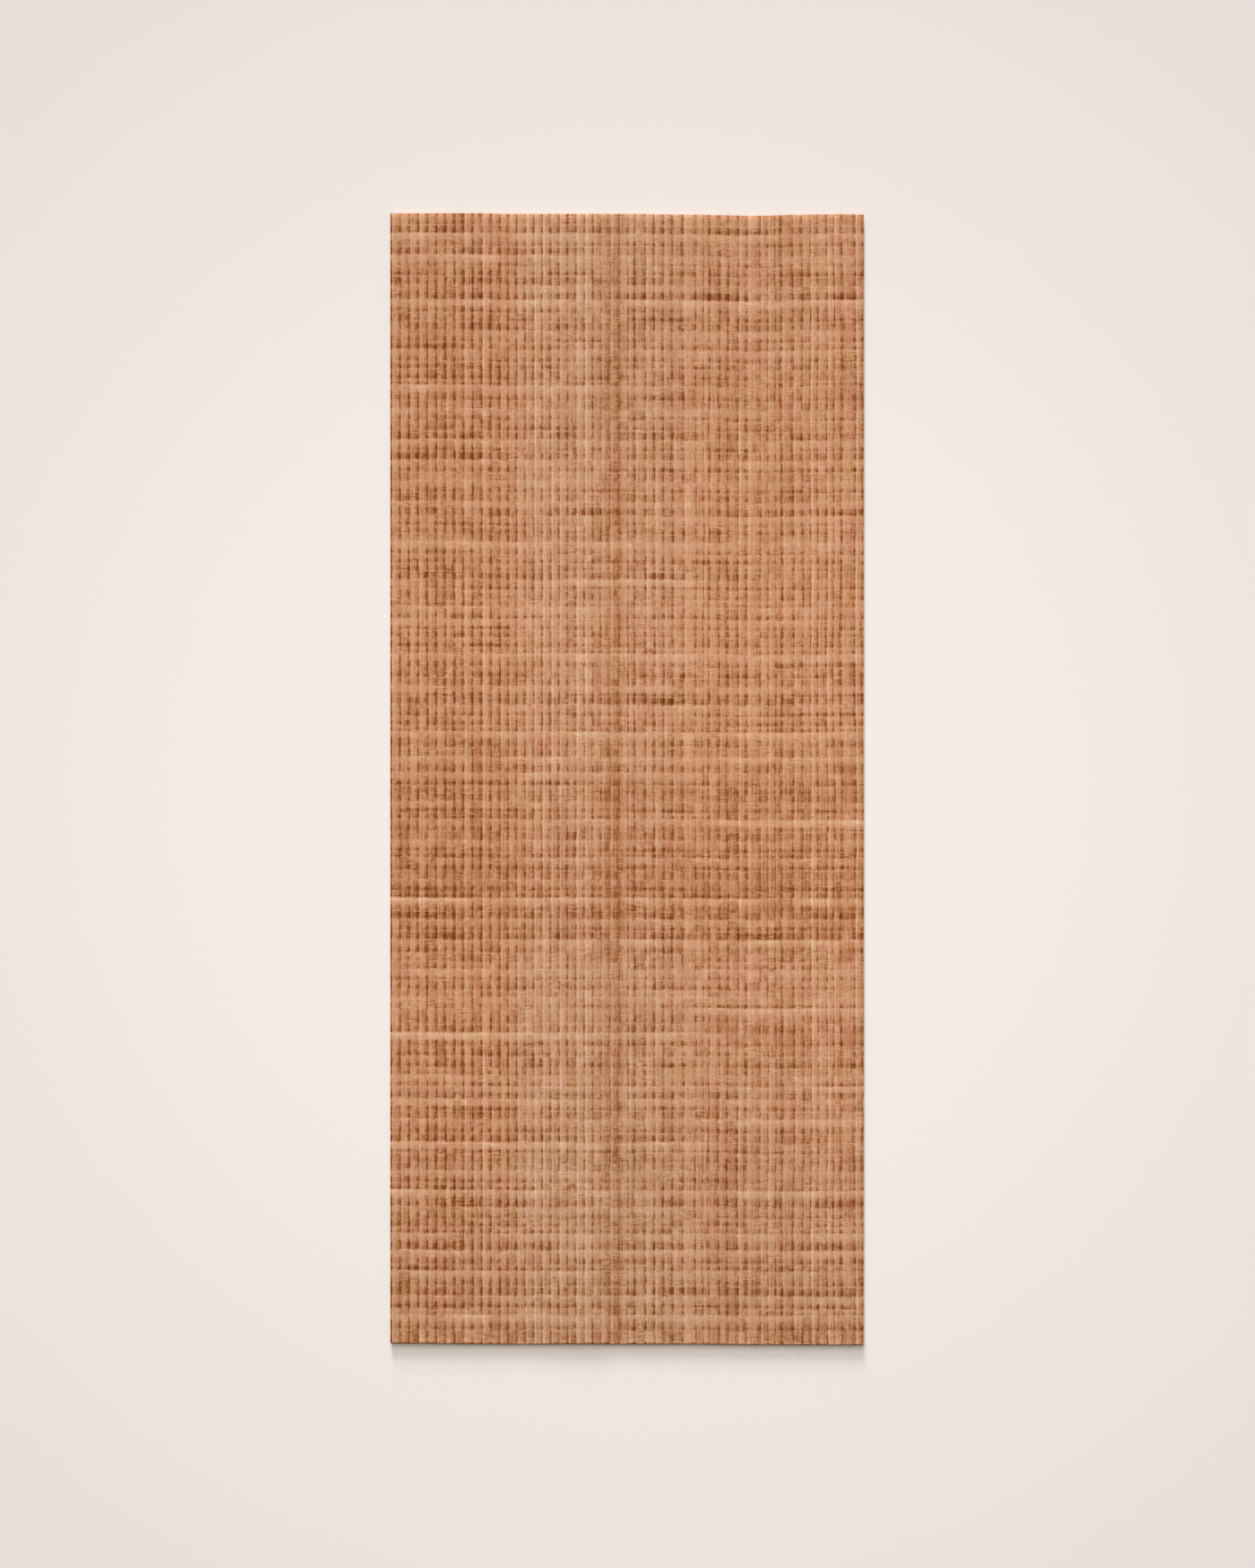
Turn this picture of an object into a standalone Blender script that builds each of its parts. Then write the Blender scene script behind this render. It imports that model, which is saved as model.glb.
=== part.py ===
"""Ribbed runner rug, laid flat: one woven sheet with raised lengthwise ribs,
low crosswise creases and plain turned ends.

Metres, +Z up. The origin is the middle of the underside, which lies flat on
Z = 0. +Y runs along the rug to its far end, and +X to its right-hand side.
"""

import math
from typing import NamedTuple

import bmesh
import bpy

MM = 0.001

# Driving dimensions.
WIDTH = 0.762
LENGTH = 1.822
CREST_HEIGHT = 0.008
ROLL_HEIGHT = 0.0048
ROLL_REACH = 0.0025
UNDERSIDE_INSET = 0.0012

# A rib's section, as shares of its width: it stands up steeply out of the
# groove on its left and sinks slowly towards the groove on its right.
CREST_AT = 0.24
SHOULDER_AT = 0.72
SHOULDER_DROP_SHARE = 0.34

# The long soft ridge left by the rug's packing fold, and the crease beside it.
FOLD_RIDGE_AT = -0.052
FOLD_RIDGE_RISE = 0.0013
FOLD_LEFT_REACH = 0.115
FOLD_RIGHT_REACH = 0.036
FOLD_CREASE_DROP = 0.0006

# Rug colour and finish, as read off the cloth.
CLOTH_COLOR = (0.503, 0.242, 0.124, 1.0)
CLOTH_ROUGHNESS = 0.92


class RibGroup(NamedTuple):
    """Neighbouring ribs of one width, each closed on its right by a groove."""

    ribs: int
    width_mm: float
    groove_mm: float


class Streak(NamedTuple):
    """A crosswise crease: a low step up, then a slow fall to the next one."""

    from_far_end_mm: float
    step_length_mm: float
    foot_drop_mm: float
    crest_rise_mm: float


class EndPoint(NamedTuple):
    """How far both ends draw in from the full length, at one place across."""

    from_left_mm: float
    far_draw_mm: float
    near_draw_mm: float


# Ribs from the left-hand side. What is left of the width is the right selvage.
RIB_GROUPS = (
    RibGroup(12, 14.6, 1.7),
    RibGroup(12, 13.6, 1.4),
    RibGroup(1, 14.0, 0.7),
    RibGroup(1, 14.0, 1.9),
    RibGroup(1, 16.0, 0.7),
    RibGroup(1, 9.5, 1.4),
    RibGroup(1, 17.5, 1.1),
    RibGroup(3, 14.5, 1.7),
    RibGroup(1, 16.5, 1.2),
    RibGroup(1, 21.0, 0.9),
    RibGroup(1, 13.0, 1.4),
    RibGroup(1, 8.0, 0.6),
    RibGroup(1, 17.5, 2.2),
    RibGroup(1, 13.0, 1.4),
    RibGroup(1, 17.5, 1.7),
    RibGroup(1, 11.5, 1.1),
    RibGroup(1, 23.5, 1.2),
    RibGroup(2, 12.5, 0.8),
    RibGroup(1, 9.0, 1.3),
    RibGroup(1, 19.0, 1.4),
    RibGroup(1, 16.0, 2.1),
    RibGroup(1, 13.0, 0.9),
    RibGroup(1, 11.0, 1.3),
    RibGroup(1, 15.5, 1.1),
    RibGroup(1, 11.0, 1.9),
    RibGroup(1, 11.0, 1.2),
    RibGroup(1, 23.0, 1.4),
    RibGroup(1, 11.5, 1.3),
)

STREAKS = (
    Streak(32, 5, 0.5, 0.4),
    Streak(140, 7, 0.6, 0.5),
    Streak(277, 5, 0.3, 0.3),
    Streak(431, 6, 0.3, 0.3),
    Streak(590, 6, 0.3, 0.5),
    Streak(834, 7, 0.5, 0.5),
    Streak(977, 5, 0.3, 0.4),
    Streak(1103, 7, 0.7, 0.6),
    Streak(1321, 5, 0.3, 0.4),
    Streak(1496, 6, 0.5, 0.4),
    Streak(1776, 6, 0.6, 0.4),
)

END_LINE = (
    EndPoint(0, 0.0, 3.0),
    EndPoint(150, 0.0, 1.8),
    EndPoint(180, 1.2, 1.6),
    EndPoint(385, 1.2, 1.6),
    EndPoint(480, 2.4, 1.6),
    EndPoint(590, 3.9, 0.5),
    EndPoint(665, 2.4, 0.2),
    EndPoint(735, 1.6, 0.0),
    EndPoint(762, 2.3, 0.6),
)


class Column(NamedTuple):
    """One lengthwise line of points: its place across, and its drop."""

    x: float
    drop: float


class Row(NamedTuple):
    """One crosswise line of points: its place along, and its lift."""

    from_far_end: float
    lift: float


def ease(share):
    """Turn 0 to 1 into a smooth start and a smooth stop."""
    return 0.5 - 0.5 * math.cos(math.pi * min(max(share, 0.0), 1.0))


def rib_columns():
    """The points across the rug: groove, crest and shoulder of each rib."""
    left = -WIDTH / 2
    right = WIDTH / 2
    columns = [Column(left + ROLL_REACH, 0.0)]
    start = left
    for group in RIB_GROUPS:
        width = group.width_mm * MM
        groove = group.groove_mm * MM
        for _ in range(group.ribs):
            if start > left:
                columns.append(Column(start + CREST_AT * width, 0.0))
            columns.append(
                Column(start + SHOULDER_AT * width, SHOULDER_DROP_SHARE * groove)
            )
            start += width
            columns.append(Column(start, groove))
    columns.append(Column(right - ROLL_REACH / 2, 0.0))
    return columns


def streak_rows():
    """The points along the rug: foot and crest of each crosswise crease."""
    rows = [Row(ROLL_REACH, 0.0)]
    for streak in STREAKS:
        crest = streak.from_far_end_mm * MM
        rows.append(
            Row(crest - streak.step_length_mm * MM, -streak.foot_drop_mm * MM)
        )
        rows.append(Row(crest, streak.crest_rise_mm * MM))
    rows.append(Row(LENGTH - ROLL_REACH, 0.0))
    return rows


def fold_lift(x):
    """Height of the packing fold's ridge, and of the crease on its right."""
    across = x - FOLD_RIDGE_AT
    if across < 0.0:
        return FOLD_RIDGE_RISE * ease(1.0 + across / FOLD_LEFT_REACH)
    fall = ease(across / FOLD_RIGHT_REACH)
    recovery = ease(across / FOLD_RIGHT_REACH - 1.0)
    return FOLD_RIDGE_RISE * (1.0 - fall) - FOLD_CREASE_DROP * (fall - recovery)


def end_draw(x):
    """How far the far and the near end draw in, at a place across the rug."""
    from_left = x + WIDTH / 2
    for before, after in zip(END_LINE, END_LINE[1:]):
        if from_left <= after.from_left_mm * MM:
            break
    span = (after.from_left_mm - before.from_left_mm) * MM
    share = ease((from_left - before.from_left_mm * MM) / span)
    far = before.far_draw_mm + share * (after.far_draw_mm - before.far_draw_mm)
    near = before.near_draw_mm + share * (after.near_draw_mm - before.near_draw_mm)
    return far * MM, near * MM


def place_top(sheet, columns, rows):
    """Move the flat grid's points to their ribs, creases and rolled edges."""
    last_column = len(columns) + 1
    last_row = len(rows) + 1
    for vertex in sheet.verts:
        i = round((vertex.co.x + 0.5) * last_column)
        j = round((0.5 - vertex.co.y) * last_row)
        on_side = i in (0, last_column)
        on_end = j in (0, last_row)
        column = columns[min(max(i, 1), last_column - 1) - 1]
        row = rows[min(max(j, 1), last_row - 1) - 1]
        x = math.copysign(WIDTH / 2, i - 1) if on_side else column.x
        along = (0.0 if j == 0 else LENGTH) if on_end else row.from_far_end
        far_draw, near_draw = end_draw(x)
        scale = (LENGTH - far_draw - near_draw) / LENGTH
        height = CREST_HEIGHT - column.drop + row.lift + fold_lift(x)
        vertex.co.x = x
        vertex.co.y = LENGTH / 2 - far_draw - along * scale
        vertex.co.z = ROLL_HEIGHT if on_side or on_end else height


def close_underside(sheet):
    """Turn the rim under and close the flat underside on Z = 0."""
    rim = [edge for edge in sheet.edges if edge.is_boundary]
    turned = bmesh.ops.extrude_edge_only(sheet, edges=rim)["geom"]
    for vertex in (item for item in turned if isinstance(item, bmesh.types.BMVert)):
        vertex.co.x *= 1.0 - 2.0 * UNDERSIDE_INSET / WIDTH
        vertex.co.y *= 1.0 - 2.0 * UNDERSIDE_INSET / LENGTH
        vertex.co.z = 0.0
    hem = [edge for edge in sheet.edges if edge.is_boundary]
    underside = bmesh.ops.holes_fill(sheet, edges=hem, sides=0)["faces"]
    bmesh.ops.triangulate(
        sheet, faces=underside, quad_method="BEAUTY", ngon_method="BEAUTY"
    )
    bmesh.ops.recalc_face_normals(sheet, faces=sheet.faces)


def cloth_material():
    """The rug's plain tan-brown cloth."""
    material = bpy.data.materials.new("Tan ribbed cloth")
    material.use_nodes = True
    shader = material.node_tree.nodes["Principled BSDF"]
    shader.inputs["Base Color"].default_value = CLOTH_COLOR
    shader.inputs["Roughness"].default_value = CLOTH_ROUGHNESS
    shader.inputs["Metallic"].default_value = 0.0
    return material


def build_rug():
    """Model the rug as one closed sheet of cloth."""
    columns = rib_columns()
    rows = streak_rows()
    sheet = bmesh.new()
    bmesh.ops.create_grid(
        sheet, x_segments=len(columns) + 1, y_segments=len(rows) + 1, size=0.5
    )
    place_top(sheet, columns, rows)
    close_underside(sheet)
    mesh = bpy.data.meshes.new("rug")
    sheet.to_mesh(mesh)
    sheet.free()
    mesh.materials.append(cloth_material())
    mesh.shade_smooth()
    rug = bpy.data.objects.new("rug", mesh)
    bpy.context.scene.collection.objects.link(rug)
    return rug


def main():
    """Clear the scene and build the rug."""
    for leftover in list(bpy.data.objects):
        bpy.data.objects.remove(leftover, do_unlink=True)
    build_rug()


main()
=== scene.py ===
"""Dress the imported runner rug: finely ribbed tan cloth on a pale studio floor.

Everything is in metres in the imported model's frame: the middle of the rug's
underside is the origin, +Y runs along the rug to its far end and +Z is up.
"""

import logging
import math
import random
from dataclasses import dataclass, field
from enum import Enum
from typing import Optional, Sequence, Union

import bmesh
import bpy
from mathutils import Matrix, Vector, noise


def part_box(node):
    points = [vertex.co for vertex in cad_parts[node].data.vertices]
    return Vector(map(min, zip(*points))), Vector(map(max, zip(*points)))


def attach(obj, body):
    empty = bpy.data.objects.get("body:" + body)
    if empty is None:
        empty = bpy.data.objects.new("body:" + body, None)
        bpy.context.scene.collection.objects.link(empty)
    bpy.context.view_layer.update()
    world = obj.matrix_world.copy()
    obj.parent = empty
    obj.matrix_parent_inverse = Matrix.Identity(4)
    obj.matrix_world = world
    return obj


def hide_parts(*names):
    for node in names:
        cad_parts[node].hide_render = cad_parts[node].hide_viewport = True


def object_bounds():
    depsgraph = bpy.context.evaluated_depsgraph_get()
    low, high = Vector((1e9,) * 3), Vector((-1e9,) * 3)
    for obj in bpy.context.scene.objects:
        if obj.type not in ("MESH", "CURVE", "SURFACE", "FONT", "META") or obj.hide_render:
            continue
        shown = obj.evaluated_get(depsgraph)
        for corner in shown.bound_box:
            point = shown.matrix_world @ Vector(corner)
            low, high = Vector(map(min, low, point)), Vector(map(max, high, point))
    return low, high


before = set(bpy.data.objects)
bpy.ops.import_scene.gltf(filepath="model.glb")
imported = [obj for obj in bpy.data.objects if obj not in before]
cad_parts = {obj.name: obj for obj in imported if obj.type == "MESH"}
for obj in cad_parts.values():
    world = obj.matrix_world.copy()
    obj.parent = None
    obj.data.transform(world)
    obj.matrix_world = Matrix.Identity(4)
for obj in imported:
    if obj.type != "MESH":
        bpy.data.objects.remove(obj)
CAD_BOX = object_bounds()

log = logging.getLogger("rug")

MM = 0.001
CREST_HEIGHT = 0.008
WEAVE_MAP = "weave"

# The Mix node's colour sockets, which share their names with its other kinds.
MIX_FACTOR, MIX_BASE, MIX_COLOR, MIX_RESULT = 0, 6, 7, 2

Color = tuple[float, float, float, float]
Span = tuple[float, float]
Tones = tuple[tuple[float, float], ...]
Weights = tuple[tuple[str, float], ...]
Feed = Union[float, int, Sequence[float], bpy.types.NodeSocket]


def srgb(red: int, green: int, blue: int) -> Color:
    """Turn a screen colour into the linear colour that a shader takes.

    Args:
        red: Red, from 0 to 255.
        green: Green, from 0 to 255.
        blue: Blue, from 0 to 255.

    Returns:
        The linear colour, with full alpha.
    """

    def linear(value: int) -> float:
        share = value / 255.0
        return share / 12.92 if share <= 0.04045 else ((share + 0.055) / 1.055) ** 2.4

    return (linear(red), linear(green), linear(blue), 1.0)


def ease(share: float) -> float:
    """Turn 0 to 1 into a smooth start and a smooth stop."""
    return 0.5 - 0.5 * math.cos(math.pi * min(max(share, 0.0), 1.0))


def between(low: float, high: float, share: float) -> float:
    """Give the value that lies the given share of the way from low to high."""
    return low + (high - low) * share


def bracket(marks: Sequence[float], at: float) -> tuple[int, float]:
    """Find the two marks that a place lies between.

    Args:
        marks: Places in rising order.
        at: The place.

    Returns:
        The number of the mark before it, and its eased share of the gap.
    """
    index = 0
    while index < len(marks) - 2 and at > marks[index + 1]:
        index += 1
    share = (at - marks[index]) / (marks[index + 1] - marks[index])
    return index, ease(share)


class Side(Enum):
    """The two faces of the cloth. The value is the face's material slot."""

    FACE = 0
    UNDERSIDE = 1


class Weight(Enum):
    """How heavy a crosswise streak is: a main one, or a fine one."""

    MAIN = "main"
    FINE = "fine"


@dataclass(frozen=True)
class RibGroup:
    """Neighbouring ribs of one width, each closed on its right by a groove."""

    ribs: int
    width_mm: float
    groove_mm: float


@dataclass(frozen=True)
class Streak:
    """A crosswise streak: a pale raised thread with a hollow before it, darkened with
    painted shade.

    The three strengths, from 0 to 9, say how pale and high the thread is on
    the left, in the middle and on the right. The two hollows, also from 0 to 9,
    say how dark the painted shade in the band on its far side is, on the left
    and on the right.
    """

    from_far_end_mm: float
    left: float
    middle: float
    right: float
    hollow_left: float
    hollow_right: float
    weight: Weight = Weight.MAIN


# Stands in where no streak crosses the cloth.
NO_STREAK = Streak(0.0, 0.0, 0.0, 0.0, 0.0, 0.0)


@dataclass(frozen=True)
class RollPoint:
    """One line of a rolled edge: how far in it lies, and how high."""

    inset: float
    height: float


@dataclass(frozen=True)
class EndPoint:
    """How far both ends draw in from the full length, at one place across."""

    from_left_mm: float
    far_draw_mm: float
    near_draw_mm: float


@dataclass(frozen=True)
class DyeShadePoint:
    """How pale the dyed tone and its painted shade are, how far the painted groove shade
    fades, and how gray it all is, at one place.
    """

    at_mm: float
    tone: float
    groove_shade_fade: float
    gray: float


@dataclass(frozen=True)
class SectionPoint:
    """One point of a rib's section: its share of the width and of the height."""

    across: float
    rise: float


@dataclass(frozen=True)
class StreakPoint:
    """One point of a streak's section: its place, and how pale or hollow it is."""

    past_line_mm: float
    pale: float
    hollow: float


@dataclass(frozen=True)
class Column:
    """One lengthwise line of points on the cloth."""

    x: float
    rib_line: float
    rise: float
    groove: float


@dataclass(frozen=True)
class Row:
    """One crosswise line of points on the cloth."""

    from_far_end: float
    streak_line: float
    pale: float = 0.0
    hollow: float = 0.0
    streak: Streak = NO_STREAK
    lift: float = 0.0


@dataclass(frozen=True)
class Waves:
    """Smooth chance waves over the cloth: their size each way, and their layer."""

    across: float
    along: float
    layer: float

    def at(self, across: float, along: float) -> float:
        """Give how high they are at one place, from about -1 to 1."""
        place = (across / self.across, along / self.along, self.layer)
        return noise.noise(Vector(place))


# The ribs from the left to the right. The rest of the width is a selvage.
RIB_GROUPS = (
    RibGroup(12, 14.6, 1.7),
    RibGroup(12, 13.6, 1.4),
    RibGroup(1, 14.0, 0.4),
    RibGroup(1, 14.0, 1.0),
    RibGroup(1, 16.0, 0.7),
    RibGroup(1, 9.5, 1.4),
    RibGroup(1, 17.5, 1.1),
    RibGroup(3, 14.5, 1.7),
    RibGroup(1, 16.5, 1.2),
    RibGroup(1, 21.0, 0.9),
    RibGroup(1, 13.0, 1.4),
    RibGroup(1, 8.0, 0.6),
    RibGroup(1, 17.5, 2.2),
    RibGroup(1, 13.0, 1.4),
    RibGroup(1, 17.5, 1.7),
    RibGroup(1, 11.5, 1.1),
    RibGroup(1, 23.5, 1.2),
    RibGroup(2, 12.5, 0.8),
    RibGroup(1, 9.0, 1.3),
    RibGroup(1, 19.0, 1.4),
    RibGroup(1, 16.0, 2.1),
    RibGroup(1, 13.0, 0.9),
    RibGroup(1, 11.0, 1.3),
    RibGroup(1, 15.5, 1.1),
    RibGroup(1, 11.0, 1.9),
    RibGroup(1, 11.0, 1.2),
    RibGroup(1, 23.0, 1.4),
    RibGroup(1, 11.5, 1.3),
)

# A rib's section from the groove on its left to the one on its right.
RIB_SECTION = (
    SectionPoint(0.12, 0.05),
    SectionPoint(0.23, 1.00),
    SectionPoint(0.64, 0.97),
    SectionPoint(0.91, 0.78),
    SectionPoint(1.00, 0.20),
)

# The streaks that are charted by place and strength, from the far end.
CHARTED_STREAKS = (
    Streak(17, 1, 1, 1, 3, 2, Weight.FINE),
    Streak(34, 4, 3, 3, 4, 5),
    Streak(69, 5, 2, 2, 3, 1),
    Streak(117, 1, 2, 1, 5, 2),
    Streak(141, 5, 5, 6, 4, 9),
    Streak(190, 1, 1, 3, 4, 2),
    Streak(221, 1, 3, 3, 5, 3),
    Streak(279, 4, 3, 1, 3, 4),
    Streak(317, 3, 3, 2, 0, 1),
    Streak(366, 3, 2, 2, 4, 4),
    Streak(399, 3, 2, 3, 4, 3),
    Streak(433, 3, 2, 2, 0, 0),
    Streak(466, 3, 2, 2, 1, 2),
    Streak(489, 1, 2, 3, 3, 6),
    Streak(531, 5, 4, 3, 0, 0),
    Streak(592, 2, 5, 1, 6, 2),
    Streak(635, 3, 2, 2, 3, 1),
    Streak(655, 3, 1, 3, 3, 6),
    Streak(711, 4, 5, 4, 1, 4),
    Streak(763, 3, 3, 3, 2, 1),
    Streak(793, 1, 3, 2, 3, 6),
    Streak(837, 5, 5, 5, 2, 4),
    Streak(878, 4, 5, 4, 1, 0),
    Streak(903, 4, 4, 2, 1, 3),
    Streak(950, 3, 2, 1, 0, 3),
    Streak(978, 2, 4, 7, 3, 1),
    Streak(1012, 3, 3, 3, 1, 1),
    Streak(1040, 2, 4, 4, 3, 4),
    Streak(1075, 3, 2, 1, 0, 1),
    Streak(1105, 8, 5, 6, 4, 4),
    Streak(1139, 4, 3, 3, 3, 3),
    Streak(1172, 1, 5, 6, 4, 7),
    Streak(1220, 4, 2, 3, 1, 3),
    Streak(1264, 3, 4, 3, 0, 0),
    Streak(1282, 1, 2, 5, 0, 5),
    Streak(1322, 8, 5, 0, 3, 3),
    Streak(1390, 3, 1, 2, 2, 0),
    Streak(1408, 3, 3, 4, 2, 5),
    Streak(1429, 5, 3, 3, 2, 3),
    Streak(1461, 2, 4, 5, 2, 1),
    Streak(1499, 7, 6, 1, 4, 2),
    Streak(1545, 5, 2, 2, 0, 1),
    Streak(1576, 5, 3, 6, 4, 4),
    Streak(1603, 2, 3, 1, 4, 4),
    Streak(1646, 4, 4, 4, 3, 3),
    Streak(1673, 5, 5, 4, 3, 5),
    Streak(1706, 5, 3, 2, 6, 3),
    Streak(1746, 3, 3, 4, 3, 6),
    Streak(1777, 6, 5, 5, 0, 2),
    Streak(1798, 1, 2, 1, 3, 5, Weight.FINE),
)

# A streak's section, from its far side to its near one.
STREAK_SECTIONS = {
    Weight.MAIN: (
        StreakPoint(-13.0, 0.0, 0.55),
        StreakPoint(-5.0, 0.0, 1.0),
        StreakPoint(-0.8, 1.0, 0.0),
        StreakPoint(7.4, 0.7, 0.0),
    ),
    Weight.FINE: (
        StreakPoint(-2.0, 0.0, 1.0),
        StreakPoint(2.2, 0.8, 0.0),
    ),
}

# The dyed tone with its painted shade, from the far end to the near one, and
# from the left to the right.
DYE_AND_SHADE_ALONG = (
    # Painted shade darkens the first millimetres of the far end's roll.
    DyeShadePoint(0, -0.10, 0.0, 0.0),
    DyeShadePoint(3, 0.08, 0.0, 0.0),
    DyeShadePoint(60, 0.04, 0.0, 0.1),
    DyeShadePoint(300, 0.02, 0.0, 0.1),
    DyeShadePoint(470, 0.02, 0.0, 0.0),
    DyeShadePoint(640, 0.03, 0.0, 0.0),
    DyeShadePoint(780, 0.02, 0.0, 0.0),
    DyeShadePoint(920, -0.02, 0.1, 0.0),
    DyeShadePoint(1100, -0.07, 0.15, 0.0),
    DyeShadePoint(1220, 0.01, 0.15, 0.3),
    DyeShadePoint(1480, 0.00, 0.10, 0.4),
    DyeShadePoint(1580, 0.00, 0.08, 0.6),
    DyeShadePoint(1822, -0.03, 0.05, 0.7),
)

DYE_AND_SHADE_ACROSS = (
    DyeShadePoint(0, -0.20, 0.00, -0.3),
    DyeShadePoint(4, 0.00, 0.00, -0.3),
    DyeShadePoint(180, -0.02, 0.02, -0.3),
    DyeShadePoint(225, 0.00, 0.32, 0.3),
    DyeShadePoint(265, -0.02, 0.34, 0.5),
    DyeShadePoint(300, 0.02, 0.34, 0.5),
    DyeShadePoint(325, 0.01, 0.42, 0.4),
    DyeShadePoint(343, 0.01, 0.55, 0.4),
    # Painted shade of the fold's crease, from 349 to 371 mm across.
    DyeShadePoint(349, -0.11, 0.85, 0.4),
    DyeShadePoint(371, -0.16, 0.85, 0.4),
    DyeShadePoint(374, 0.06, 0.6, 0.4),
    DyeShadePoint(380, 0.02, 0.3, 0.4),
    DyeShadePoint(386, -0.06, 0.3, 0.4),
    DyeShadePoint(400, 0.00, 0.3, 0.4),
    DyeShadePoint(445, -0.01, 0.38, 0.3),
    DyeShadePoint(505, 0.03, 0.40, 0.0),
    DyeShadePoint(560, -0.03, 0.45, 0.0),
    DyeShadePoint(630, -0.04, 0.45, 0.0),
    DyeShadePoint(670, 0.00, 0.45, -0.1),
    DyeShadePoint(740, 0.00, 0.45, -0.2),
    DyeShadePoint(762, -0.08, 0.45, -0.2),
)

# The slight waviness of the two ends, from the left to the right.
END_LINE = (
    EndPoint(0, 0.0, 3.0),
    EndPoint(150, 0.0, 1.8),
    EndPoint(180, 1.2, 1.6),
    EndPoint(385, 1.2, 1.6),
    EndPoint(480, 2.4, 1.6),
    EndPoint(590, 3.9, 0.5),
    EndPoint(665, 2.4, 0.2),
    EndPoint(735, 1.6, 0.0),
    EndPoint(762, 2.3, 0.6),
)

# What the finish reads at each point of the cloth; the groove and hollow
# marks and the dyed tone carry painted shade.
MARKS = ("groove", "pale", "hollow", "force", "dye_and_shade", "gray", "rib_line", "streak_line")


@dataclass
class RibbedCloth:
    """The rug's one sheet of cloth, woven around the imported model's solid.

    Its sizes are in metres where their names don't say otherwise.
    """

    name: str = "rug_cloth"
    node: str = "rug"
    seed: int = 11
    low: Vector = field(init=False)
    high: Vector = field(init=False)
    width: float = field(init=False)
    length: float = field(init=False)

    # The rolled edges, the selvages, the hem, and how close the lines lie.
    edge_rolls: tuple[RollPoint, ...] = (
        RollPoint(0.0, 0.0048),
        RollPoint(0.0002, 0.0066),
        RollPoint(0.0007, 0.0077),
    )
    selvage_groove: float = 0.001
    left_selvage_rise: float = 0.2
    right_selvage_rise: float = 0.3
    right_selvage_line: float = 0.3
    least_column_gap: float = 0.3 * MM
    least_row_gap: float = 0.5 * MM
    widest_row_gap: float = 9.6 * MM
    hollow_line: float = 0.98
    hem_inset: float = 0.0040
    hem_crest: float = 0.0019
    hem_rise: float = 0.0004
    underside_inset: float = 0.0012

    # The packing fold's long ridge, and the crease on its right.
    fold_ridge_at: float = -0.052
    fold_ridge_rise: float = 0.0013
    fold_left_reach: float = 0.115
    fold_right_reach: float = 0.036
    fold_crease_drop: float = 0.0006

    # The fine streaks' chance places and strengths, and how all streaks waver.
    fine_streak_gap_mm: float = 14.0
    fine_streak_jitter: float = 0.15
    fine_streak_spans: tuple[Span, ...] = (
        (0.0, 2.4),
        (0.0, 2.8),
        (0.0, 3.4),
        (1.0, 5.0),
        (1.5, 6.5),
    )
    full_strength: float = 9.0
    full_hollow: float = 5.0
    side_pull: float = 1.5
    hollow_level: float = 0.8
    streak_swing: float = 0.55
    strength_waves: Waves = Waves(0.055, 1.0, 4.1)
    strength_wave_step: float = 0.37
    hollow_waves: Waves = Waves(0.045, 1.0, 8.3)
    hollow_wave_step: float = 0.61

    # How deep the grooves are, and the low relief of threads, hollows and lumps.
    deep_groove: float = 0.0014
    groove_level: float = 0.74
    groove_swing: float = 0.5
    groove_waves: Waves = Waves(1.0, 0.022, 1.3)
    groove_wave_step: float = 3.7
    thread_fill: float = 0.2
    hollow_dip: float = 0.1
    thread_rise: float = 0.000006
    hollow_drop: float = 0.000008
    lump_rise: float = 0.00016
    lumps: Waves = Waves(0.010, 0.017, 2.2)
    fine_lumps: Waves = Waves(0.0042, 0.009, 7.9)
    fine_lump_share: float = 0.6

    # How far the yarns stray from straight lines.
    scallop: float = 0.0005
    waver: float = 0.0011
    waver_waves: Waves = Waves(0.16, 0.08, 5.5)
    wander: float = 0.0030
    wander_waves: Waves = Waves(0.10, 0.24, 9.4)
    left_wander: float = 0.15
    wander_reach: float = 0.15
    edge_hold: float = 0.02

    def __post_init__(self) -> None:
        """Take the rug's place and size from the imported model."""
        self.low, self.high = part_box(self.node)
        self.width = self.high.x - self.low.x
        self.length = self.high.y - self.low.y

    def columns(self) -> list[Column]:
        """List the lengthwise lines of points, from the left to the right.

        Returns:
            The lines, with the rolled selvages first and last.
        """
        left, right = self.low.x, self.high.x
        lines = [
            Column(left + roll.inset, 0.0, self.left_selvage_rise, self.selvage_groove)
            for roll in self.edge_rolls
        ]
        start, index = left, 0
        for group in RIB_GROUPS:
            width, groove = group.width_mm * MM, group.groove_mm * MM
            for _ in range(group.ribs):
                for point in RIB_SECTION:
                    x = start + point.across * width
                    if x > lines[-1].x + self.least_column_gap:
                        lines.append(Column(x, index + point.across, point.rise, groove))
                start += width
                index += 1
        line = index + self.right_selvage_line
        for roll in reversed(self.edge_rolls):
            x = right - roll.inset
            lines.append(Column(x, line, self.right_selvage_rise, self.selvage_groove))
        return lines

    def streaks(self) -> list[Streak]:
        """Fill the gaps between the charted streaks with fine ones.

        Returns:
            All the streaks, from the far end to the near one.
        """
        draw = random.Random(self.seed)
        gap, jitter = self.fine_streak_gap_mm, self.fine_streak_jitter
        filled: list[Streak] = []
        for charted, after in zip(CHARTED_STREAKS, CHARTED_STREAKS[1:]):
            filled.append(charted)
            room = after.from_far_end_mm - charted.from_far_end_mm
            count = int(room / gap) - 1
            for k in range(count):
                at = charted.from_far_end_mm + room * (k + 1) / (count + 1)
                at += draw.uniform(-jitter, jitter) * gap
                drawn = [draw.uniform(*span) for span in self.fine_streak_spans]
                filled.append(Streak(at, *drawn, Weight.FINE))
        filled.append(CHARTED_STREAKS[-1])
        return filled

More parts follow.
